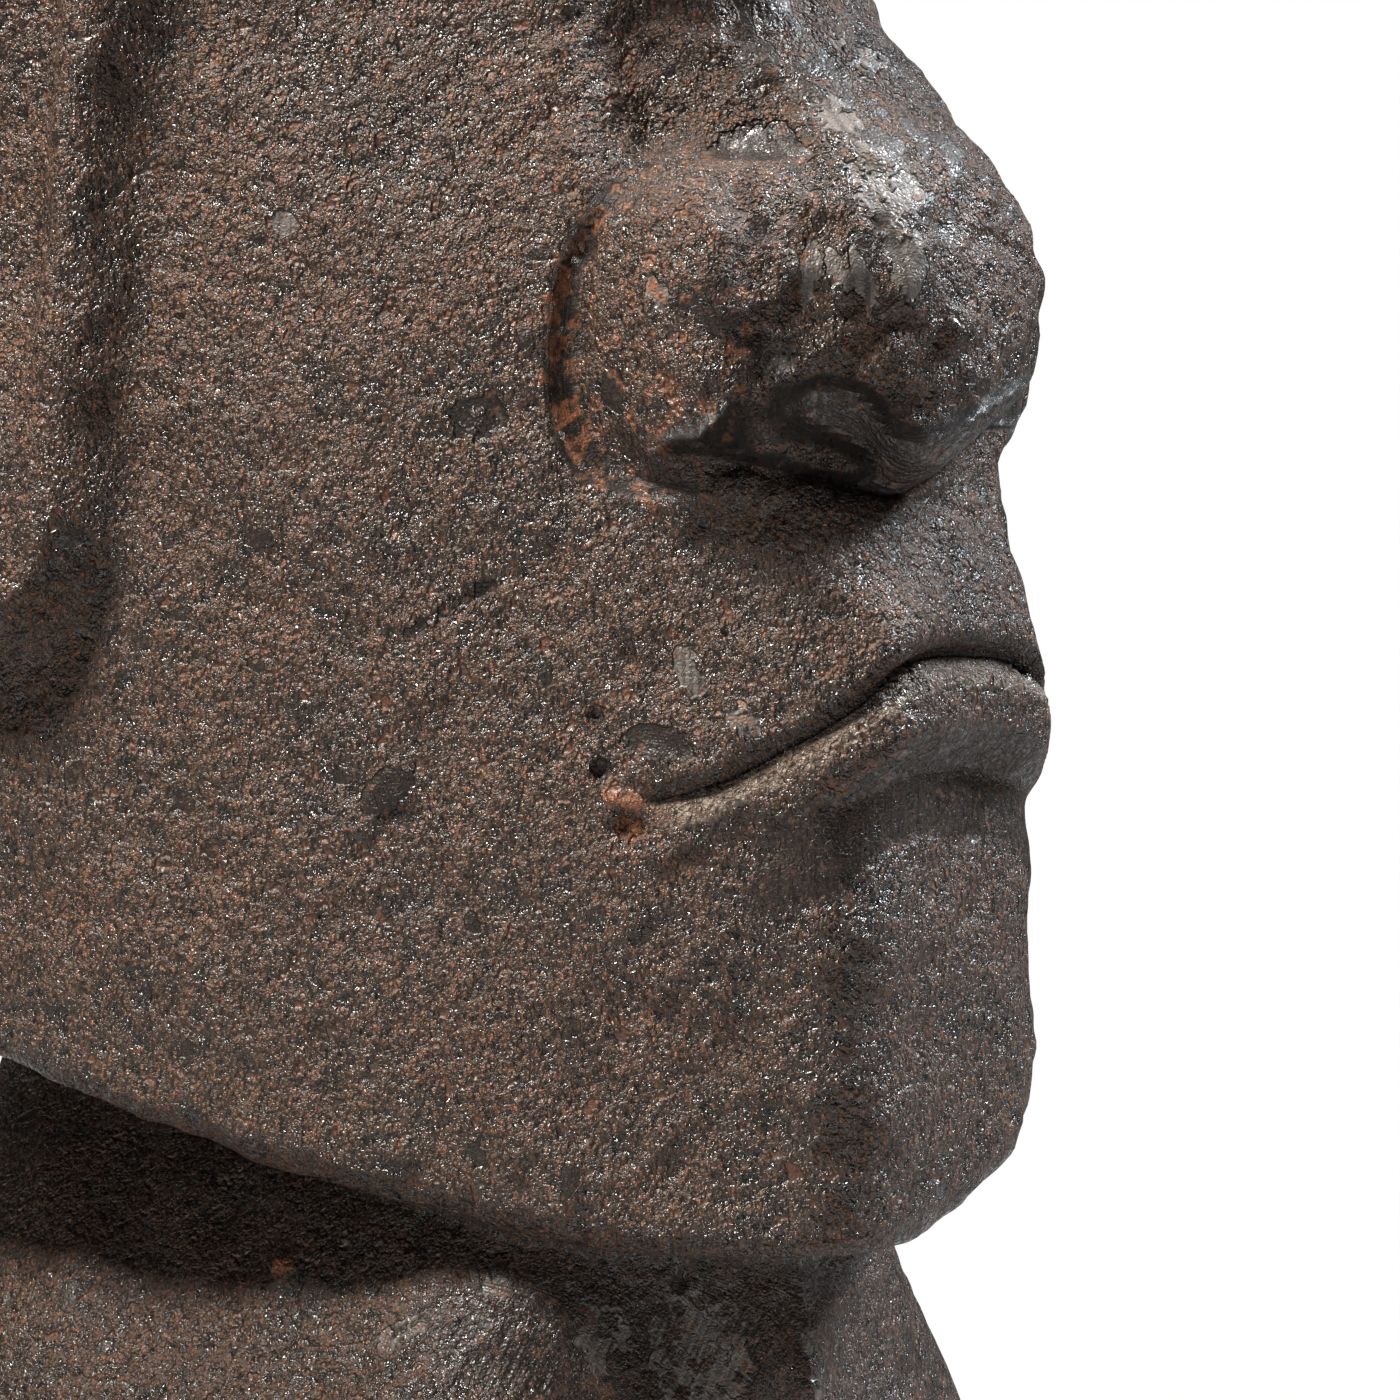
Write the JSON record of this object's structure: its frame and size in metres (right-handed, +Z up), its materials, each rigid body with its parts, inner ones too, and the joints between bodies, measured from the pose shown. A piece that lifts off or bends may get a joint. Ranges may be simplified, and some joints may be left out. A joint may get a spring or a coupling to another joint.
{
  "type": "moai stone head statue",
  "caption": "Moai-type head as a bust in gritty dark brown cast stone, cut off flat below the neck, about 590 mm tall.",
  "frame": {"origin": "middle of the flat underside's bounding box, on the surface it stands on", "axes": "+Z up through the crown, -Y the way the face looks, +X the statue's own left"},
  "size_m": [0.242, 0.2685, 0.5878],
  "materials": {
    "painted_stone": "satin"
  },
  "bodies": {
    "root": {"statue_head": "painted_stone"}
  },
  "joints": []
}
